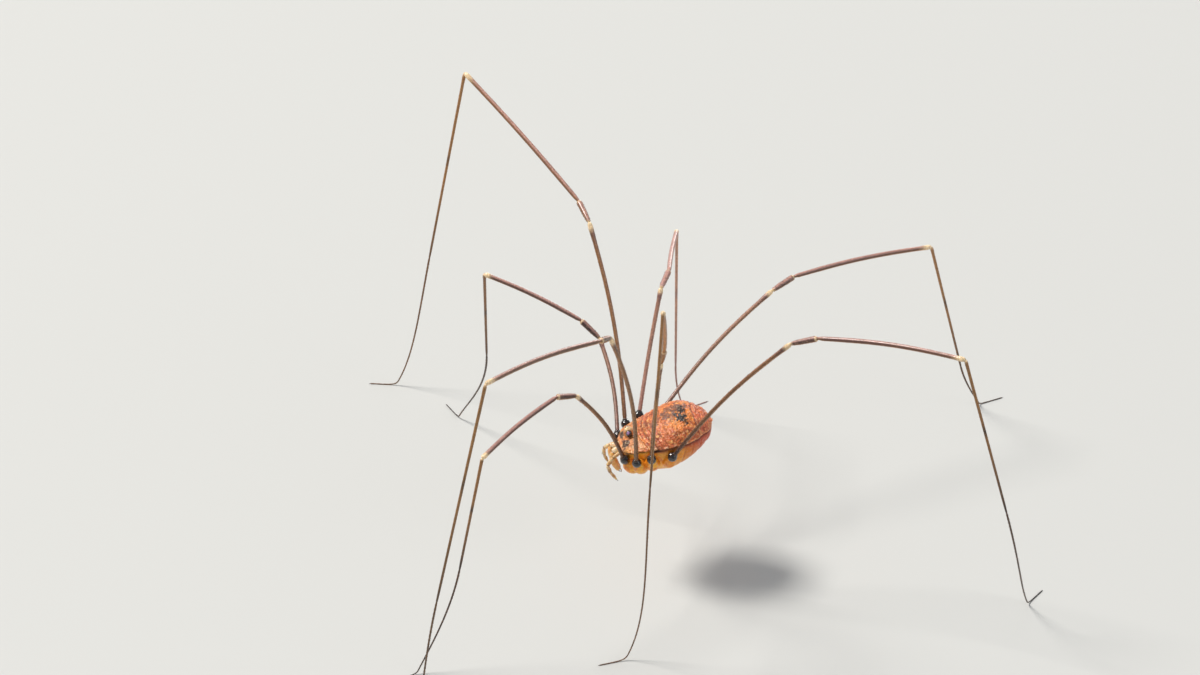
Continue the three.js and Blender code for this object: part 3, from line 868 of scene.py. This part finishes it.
# Radius along each segment, as (share of the length, radius)
RADII = {
    "femur": (
        (0.0, 0.075), (0.02, 0.10), (0.06, 0.092), (0.5, 0.092),
        (0.9, 0.096), (0.965, 0.125), (0.99, 0.11), (1.0, 0.06),
    ),
    "patella": (
        (0.0, 0.06), (0.07, 0.1), (0.3, 0.125), (0.7, 0.135), (0.92, 0.14), (0.97, 0.12), (1.0, 0.07),
    ),
    "tibia": (
        (0.0, 0.065), (0.03, 0.1), (0.2, 0.112), (0.6, 0.108),
        (0.92, 0.106), (0.97, 0.122), (0.99, 0.105), (1.0, 0.05),
    ),
    "metatarsus": ((0.0, 0.05), (0.015, 0.085), (0.06, 0.074), (0.4, 0.066), (0.95, 0.056), (1.0, 0.045)),
    "tarsus": ((0.0, 0.04), (0.02, 0.05), (0.3, 0.042), (0.8, 0.032), (1.0, 0.024)),
}

BROWN = srgb(128, 88, 50)
DARK_BROWN = srgb(44, 26, 18)
GOLD = srgb(168, 118, 56)
PALE = srgb(246, 220, 178)
PLUM = srgb(92, 58, 50)
ROSE = srgb(226, 178, 170)
AMBER = srgb(224, 150, 70)
TOOTH_TIP = srgb(230, 182, 146)

# Colours along each segment, as (share of the length, colour)
COLOURS = {
    "femur": (
        (0.0, DARK_BROWN), (0.06, srgb(84, 50, 30)), (0.3, BROWN), (0.85, srgb(142, 98, 58)),
        (0.94, PLUM), (0.97, PALE), (1.0, PALE),
    ),
    "patella": ((0.0, PALE), (0.1, PLUM), (0.5, srgb(70, 44, 38)), (0.88, PLUM), (0.95, PALE), (1.0, BROWN)),
    "tibia": (
        (0.0, BROWN), (0.06, PLUM), (0.5, srgb(104, 66, 52)), (0.9, srgb(112, 72, 48)),
        (0.96, PALE), (1.0, PALE),
    ),
    "metatarsus": (
        (0.0, PALE), (0.02, GOLD), (0.4, GOLD), (0.46, srgb(70, 48, 24)), (0.52, GOLD),
        (0.9, srgb(96, 66, 34)), (1.0, DARK_BROWN),
    ),
    "tarsus": ((0.0, srgb(88, 60, 36)), (0.3, srgb(66, 44, 28)), (1.0, srgb(40, 28, 20))),
}
# How strongly a rose highlight is painted on the upper side of each kind, and how strongly an amber glow of
# light shining through is painted on their lower sides
PAINTED_TOP_HIGHLIGHT = {"femur": 0.35, "patella": 0.6, "tibia": 0.6, "metatarsus": 0.35}
PAINTED_UNDERSIDE_GLOW = 0.75

# How strongly each leg departs towards dark or gold
LEG_TONES = {
    "left_1": (DARK_BROWN, 0.25), "right_1": (DARK_BROWN, 0.5),
    "left_2": (srgb(110, 84, 44), 0.4), "right_2": (GOLD, 0.35),
    "left_3": (srgb(140, 100, 50), 0.45), "right_3": (ROSE, 0.5),
    "left_4": (DARK_BROWN, 0.2), "right_4": (BROWN, 0.2),
}

# Teeth or bristles: rows round the limb, spacing, length, root radius and how far they lean forward
TEETH = {
    "femur": (8, 0.085, 0.026, 0.017, 0.5), "patella": (8, 0.08, 0.03, 0.016, 0.45),
    "tibia": (7, 0.09, 0.022, 0.009, 0.75), "metatarsus": (6, 0.1, 0.024, 0.007, 0.8),
    "tarsus": (5, 0.09, 0.045, 0.005, 0.7),
}
TOOTHED_SHARE = (0.03, 0.93)
LIGHT_TEETH = 0.65


def along_stops(stops, shares):
    keys, colours = zip(*stops)
    return np.stack([np.interp(shares, keys, channel) for channel in np.array(colours).T], axis=1)


def bake_places(along, turn, row):
    """The strip of the bake map that belongs to a segment."""
    return np.stack([0.01 + 0.98 * along, (row + 0.05 + 0.9 * turn) / 5], axis=1)


def segment_colours(kind, tone, along, angles, rise, seed):
    colours = along_stops(COLOURS[kind], along)
    tone_colour, weight = tone
    pale = smooth(0.35, 0.6, colours.mean(axis=1))
    weight = weight * (1 - pale)
    if kind == "femur":
        weight = weight * (1 - 0.5 * along)
    colours = blend(colours, tone_colour, weight)
    if kind != "tarsus":
        # Painted light: a rose highlight where the surface faces up, and an amber glow of light shining
        # through where it faces down
        colours = blend(colours, ROSE, PAINTED_TOP_HIGHLIGHT[kind] * smooth(0.45, 0.9, rise) * (1 - pale))
        colours = blend(colours, AMBER, PAINTED_UNDERSIDE_GLOW * smooth(-0.1, -0.7, rise) * (1 - pale))
    streaks = np.stack([along * 9, angles * 0.5, np.full_like(along, seed)], axis=1)
    return colours * (0.8 + 0.4 * layered_noise(streaks, 0.5, seed + 3))[:, None]


def add_teeth(shape, kind, points, rings, length, row):
    """Rows of fine teeth on a segment's rings, each a little out of its place."""
    rows, spacing, tooth, thick, lean = TEETH[kind]
    steps = max(int(length / spacing), 2)
    count, sides = rings.shape[:2]
    roots, ways, shares, turns = [], [], [], []
    for k in range(rows):
        for s in range(steps):
            share = (s + 0.5 + 0.3 * random.uniform(-1, 1)) / steps
            if not TOOTHED_SHARE[0] <= share <= TOOTHED_SHARE[1]:
                continue
            turn = (k + 0.25 * (s % 2) + 0.12 * random.uniform(-1, 1)) / rows
            place = share * (count - 1)
            i = min(int(place), count - 2)
            j = int(turn * sides) % sides
            root = rings[i, j] * (1 - place + i) + rings[i + 1, j] * (place - i)
            centre = points[i] * (1 - place + i) + points[i + 1] * (place - i)
            roots.append(root)
            ways.append(unit(root - centre) * (1 - 0.5 * lean) + unit(points[i + 1] - points[i]) * lean)
            shares.append(share)
            turns.append(j / sides)
    shares = np.array(shares)
    size = random.uniform(0.7, 1.3, len(roots))
    light = random.uniform(size=len(roots)) < LIGHT_TEETH
    colours = blend(along_stops(COLOURS[kind], shares) * 0.5, TOOTH_TIP, 0.8 * light)
    patches = bake_places(shares, np.array(turns), row)
    add_cones(shape, np.array(roots), np.array(ways), tooth * size, thick * size, colours, patches)


def add_segment(shape, kind, points, tone, row, seed):
    """One leg segment along its points, with its rows of fine teeth or bristles."""
    count = len(points)
    shares = np.linspace(0, 1, count)
    radii = stops_at(RADII[kind], shares)
    length = np.sum(np.linalg.norm(np.diff(points, axis=0), axis=1))
    if kind == "tarsus":
        # A chain of many tiny rings, each a little wider at its far end
        radii = radii * (0.88 + 0.2 * (shares * length / TARSAL_RING % 1.0))
    corners, faces, along, angles = capped_tube(points, radii, SEGMENT_SIDES)
    corners = lumpy(corners, points, 0.05, 0.16, seed)
    rise = (corners[:, 2] - np.repeat(points[:, 2], SEGMENT_SIDES)) / np.repeat(radii, SEGMENT_SIDES)
    colours = segment_colours(kind, tone, along, angles, rise, seed)
    shape.add(corners, faces, colours, bake_places(along, angles / (2 * np.pi), row))
    add_teeth(shape, kind, points, corners.reshape(count, SEGMENT_SIDES, 3), length, row)


def bowed(start, end, amount, count):
    """A line between two points that bows upwards, square to the bend axis."""
    t = np.linspace(0, 1, count)[:, None]
    bend = np.cross(BEND_AXIS, end - start)
    bend *= amount * np.sign(bend[2]) / np.linalg.norm(bend)
    return start * (1 - t) + end * t + np.sin(np.pi * t) * bend


def tarsus_points(ankle, way, foot):
    """The tarsus bends down to the floor and lies along it. Lengths are shares of the ankle's height."""
    foot = np.array([foot[0], foot[1], TOE_RADIUS])
    outward = unit((foot - ankle) * [1, 1, 0])
    drop = ankle[2]
    p1 = ankle + TARSUS_LEAVE * drop * way
    p2 = foot - TARSUS_LEVEL * drop * outward
    p2[2] = TARSUS_LEVEL_HEIGHT * drop
    t = np.linspace(0, 1, 110)[:, None]
    bend = (1 - t)**3 * ankle + 3 * (1 - t)**2 * t * p1 + 3 * (1 - t) * t**2 * p2 + t**3 * foot
    toe = foot + np.linspace(0, TOE_LENGTH, 10)[1:, None] * outward
    path = np.vstack([bend, toe])
    # Even spacing and a softer turn where the foot meets the floor
    for _ in range(12):
        path[1:-1] = 0.25 * path[:-2] + 0.5 * path[1:-1] + 0.25 * path[2:]
    path[:, 2] = np.maximum(path[:, 2], TOE_RADIUS)
    return curve_points(path, 4 * len(path))


def build_leg(name, leg, seed):
    shape = Shape()
    joints = [np.array(leg["root"])]
    for kind in SEGMENTS:
        length, azimuth, elevation = leg[kind]
        joints.append(joints[-1] + length * direction(azimuth, elevation))
    ends = [joints[0] + FEMUR_START * direction(*leg["femur"][1:])] + joints[1:]
    femur_bend, tibia_bend = leg["bends"]
    tone = LEG_TONES[name]
    for row, (kind, bend) in enumerate(zip(SEGMENTS, (femur_bend, 0.0, tibia_bend, 0.0))):
        count = max(int(leg[kind][0] / POINT_SPACING), 16)
        add_segment(shape, kind, bowed(ends[row], ends[row + 1], bend, count), tone, row, seed + row)
    path = tarsus_points(joints[-1], direction(*leg["metatarsus"][1:]), leg["foot"])
    add_segment(shape, "tarsus", path, tone, 4, seed + 4)
    outward = unit(path[-1] - path[-3])
    tip = path[-1]
    claw = [tip - 0.02 * outward, tip + 0.06 * outward, tip + 0.1 * outward - [0, 0, 0.02]]
    add_claw(shape, curve_points(claw, 12), DARK_BROWN)
    nodes = [f"{kind}_{name}" for kind in (*SEGMENTS, "tarsus")]
    shape.build(f"leg_{name}", leg_material, nodes, bake_map=True)


# The bulb at each leg's root, with a collar where the femur starts, as (place along it, radius)
BULB = (
    (-1.0, 0.02), (-0.92, 0.09), (-0.7, 0.165), (-0.3, 0.215), (0.15, 0.222),
    (0.55, 0.175), (0.75, 0.12), (0.84, 0.128), (0.95, 0.1), (1.0, 0.05),
)
BULB_LENGTH = 1.08
BULB_SIDES = 36


def build_trochanter(name, leg, seed):
    shares = np.linspace(-1, 1, 40)
    points = leg["root"] + shares[:, None] * direction(*leg["femur"][1:]) * TROCHANTER_RADIUS * BULB_LENGTH
    corners, faces, along, _ = capped_tube(points, stops_at(BULB, shares), BULB_SIDES)
    corners = lumpy(corners, points, 0.16, 0.13, seed)
    colours = paint(
        srgb(17, 9, 6),
        (srgb(74, 42, 28), blotches(corners, 0.1, seed + 1, 0.56, 0.75) * 0.6),
        (srgb(110, 76, 50), bell(along - 0.93, 0.035) * 0.5),
    )
    shape = Shape()
    shape.add(corners, faces, colours)
    shape.build(f"trochanter_{name}_bulb", black_material, [f"trochanter_{name}"])


for number, (leg_name, leg_data) in enumerate(LEGS.items()):
    build_leg(leg_name, leg_data, 100 + 10 * number)
    build_trochanter(leg_name, leg_data, 200 + 10 * number)


# Jaws on the left side: paths in the trunk's frame, and radii as (share of the length, radius)
JAW_BASE = ((0.16, -1.98, -0.02), (0.19, -2.2, 0.0), (0.21, -2.42, 0.0), (0.215, -2.52, -0.06))
JAW_BASE_RADII = ((0, 0.11), (0.4, 0.14), (0.85, 0.15), (1.0, 0.09))
JAW_HAND = (
    (0.21, -2.47, -0.02), (0.235, -2.6, -0.22), (0.22, -2.61, -0.6),
    (0.19, -2.53, -0.98), (0.17, -2.48, -1.1),
)
JAW_HAND_RADII = ((0, 0.06), (0.15, 0.14), (0.5, 0.165), (0.85, 0.12), (1.0, 0.05))
JAW_SIDES = 28
# The two fingers: how far each leans forward, and its length
JAW_FINGERS = ((0.045, 0.3), (-0.045, 0.26))
FINGER_RADII = ((0, 0.045), (1, 0.012))
SAND = srgb(232, 192, 138)


def build_jaw(name, side):
    """A pale basal segment, a downward hand and two dark-tipped fingers."""
    shape = Shape()
    mirror = np.array([side, 1, 1])
    pieces = (
        (JAW_BASE, JAW_BASE_RADII, 26, srgb(252, 232, 200), 61),
        (JAW_HAND, JAW_HAND_RADII, 34, srgb(242, 186, 106), 62),
    )
    for keys, widths, steps, main, seed in pieces:
        path = curve_points(mirror * keys, steps)
        corners, faces, along, _ = capped_tube(path, stops_at(widths, np.linspace(0, 1, steps)), JAW_SIDES)
        corners = lumpy(corners, path, 0.14, 0.16, seed)
        tone = blend(main, SAND, blotches(corners, 0.15, seed, 0.45, 0.7))
        rings = bell(along - 0.08, 0.05) + bell(along - 0.97, 0.04)
        tone = blend(tone, srgb(120, 66, 44), 0.55 * np.clip(rings, 0, 1))
        shape.add(from_trunk(corners), faces, tone)
    for lean, reach in JAW_FINGERS:
        path = curve_points(mirror * [
            (0.18, -2.49 + lean, -1.02),
            (0.165, -2.46 + 1.4 * lean, -1.02 - 0.5 * reach),
            (0.14, -2.43 + 0.4 * lean, -1.02 - reach),
        ], 16)
        corners, faces, along, _ = capped_tube(path, stops_at(FINGER_RADII, np.linspace(0, 1, 16)), 12)
        tone = blend(SAND, srgb(40, 24, 16), smooth(0.35, 0.7, along))
        shape.add(from_trunk(corners), faces, tone)
    shape.build(f"{name}_jaw", flesh_material, [name])


build_jaw("chelicera_left", 1)
build_jaw("chelicera_right", -1)

# Feelers: the ends of their five segments in the trunk's frame, and each segment's widest radius
FEELER_KEYS = {
    "left": np.array([
        (0.33, -1.98, -0.12), (0.4, -2.22, -0.04), (0.6, -2.62, -0.1),
        (0.75, -2.95, -0.33), (0.73, -2.9, -0.74), (0.62, -2.70, -1.33),
    ]),
    "right": np.array([
        (-0.33, -1.98, -0.12), (-0.4, -2.25, -0.06), (-0.5, -2.62, -0.12),
        (-0.58, -2.9, -0.3), (-0.56, -2.96, -0.62), (-0.46, -2.87, -1.02),
    ]),
}
FEELER_RADII = (0.08, 0.086, 0.094, 0.084, 0.07)
FEELER_STEPS = 22
BRISTLE_RADIUS = 0.004


def add_bristles(shape, path, radii, amount):
    """Short bristles all round a segment of a feeler."""
    shares = np.linspace(0, 1, len(path))
    place = random.uniform(0.1, 0.95, amount)
    centres = np.stack([np.interp(place, shares, path[:, axis]) for axis in range(3)], axis=1)
    way = unit(path[-1] - path[0])
    out = random.normal(size=(amount, 3))
    out = unit(out - (out @ way)[:, None] * way)
    roots = centres + out * np.interp(place, shares, radii)[:, None] * 0.95
    lengths = random.uniform(0.04, 0.08, amount)
    colours = np.broadcast_to(srgb(150, 106, 62), (amount, 3))
    add_cones(shape, from_trunk(roots), (out * 0.6 + way * 0.9) @ TILT.T, lengths,
              np.full(amount, BRISTLE_RADIUS), colours, np.zeros((amount, 2)), sides=3)


def build_feeler(side):
    keys = FEELER_KEYS[side]
    shape = Shape()
    last = len(FEELER_RADII) - 1
    for k, widest in enumerate(FEELER_RADII):
        path = curve_points(keys[k:k + 2], FEELER_STEPS)
        taper = 0.45 if k == last else 0.94
        widths = ((0, 0.62), (0.1, 0.9), (0.6, 1.0), (0.93, taper), (1.0, 0.6 * taper))
        radii = widest * stops_at(widths, np.linspace(0, 1, FEELER_STEPS))
        corners, faces, along, _ = capped_tube(path, radii, 20)
        knee = 1.0 if k == 2 else 0.35
        tone = paint(
            srgb(240, 212, 164),
            (srgb(206, 158, 96), blotches(corners, 0.2, 71, 0.4, 0.7)),
            (srgb(96, 56, 34), knee * smooth(0.6, 0.95, along) * blotches(corners, 0.12, 73, 0.3, 0.6)),
        )
        shape.add(from_trunk(corners), faces, tone)
        add_bristles(shape, path, radii, 30 if k < 3 else 70)
    tip = keys[-1]
    way = unit(keys[-1] - keys[-2])
    claw = curve_points([tip - 0.02 * way, tip + 0.05 * way, tip + 0.08 * way + [0, 0.04, 0]], 10)
    add_claw(shape, from_trunk(claw), srgb(30, 18, 12))
    shape.build(f"feeler_{side}", flesh_material, [f"pedipalp_{side}"])


build_feeler("left")
build_feeler("right")


# Floor, light and camera
FLOOR_REACH = 3.0


def build_floor():
    mesh = bpy.data.meshes.new("floor")
    corners = [(FLOOR_REACH * x, FLOOR_REACH * y, 0) for x, y in ((-1, -1), (1, -1), (1, 1), (-1, 1))]
    mesh.from_pydata(corners, [], [(0, 1, 2, 3)])
    material = bpy.data.materials.new("floor")
    material.use_nodes = True
    shader = material.node_tree.nodes["Principled BSDF"]
    shader.inputs["Base Color"].default_value = (0.62, 0.62, 0.6, 1.0)
    shader.inputs["Roughness"].default_value = 0.7
    mesh.materials.append(material)
    add_object("floor", mesh)


build_floor()

forward = direction(CAMERA_TURN - 90, -CAMERA_ELEVATION)
rightward = unit(np.cross(forward, [0, 0, 1.0]))
upward = np.cross(rightward, forward)
target = (np.array(TRUNK_POINT) + SHIFT) * MM


def place_camera():
    focal = PIXELS_PER_MM * CAMERA_DISTANCE
    across = (TRUNK_PIXEL[0] - PHOTO_SIZE[0] / 2) / focal
    down = (TRUNK_PIXEL[1] - PHOTO_SIZE[1] / 2) / focal
    position = target - CAMERA_DISTANCE * MM * (forward + across * rightward - down * upward)
    data = bpy.data.cameras.new("camera")
    data.sensor_width = SENSOR_WIDTH
    data.sensor_fit = "HORIZONTAL"
    data.lens = focal / PHOTO_SIZE[0] * SENSOR_WIDTH
    data.clip_start = 0.01
    data.clip_end = 20.0
    camera = add_object("camera", data)
    pose = np.eye(4)
    pose[:3] = np.stack([rightward, upward, -forward, position], axis=1)
    camera.matrix_world = Matrix(pose.tolist())
    bpy.context.scene.camera = camera


place_camera()


def area_light(name, offset, size, power, colour):
    """A soft lamp at an offset, in millimetres, from the trunk along the camera's right, up and back."""
    right, up, back = offset
    position = Vector(target + MM * (right * rightward + up * upward - back * forward))
    data = bpy.data.lights.new(name, "AREA")
    data.size = size * MM
    data.energy = power
    data.color = colour
    lamp = add_object(name, data)
    lamp.location = position
    lamp.rotation_mode = "QUATERNION"
    lamp.rotation_quaternion = (Vector(target) - position).to_track_quat("-Z", "Y")


area_light("key", (-520, 820, 330), 240, 10.5, (1.0, 0.97, 0.92))
area_light("fill", (900, 260, 700), 700, 2.4, (0.92, 0.96, 1.0))
area_light("rim", (260, 760, -820), 400, 2.8, (1.0, 0.98, 0.95))

world = bpy.data.worlds.new("studio")
bpy.context.scene.world = world
world.use_nodes = True
background = world.node_tree.nodes["Background"]
background.inputs["Color"].default_value = (0.9, 0.94, 1.0, 1.0)
background.inputs["Strength"].default_value = 0.34
bpy.context.scene.view_settings.view_transform = "Standard"
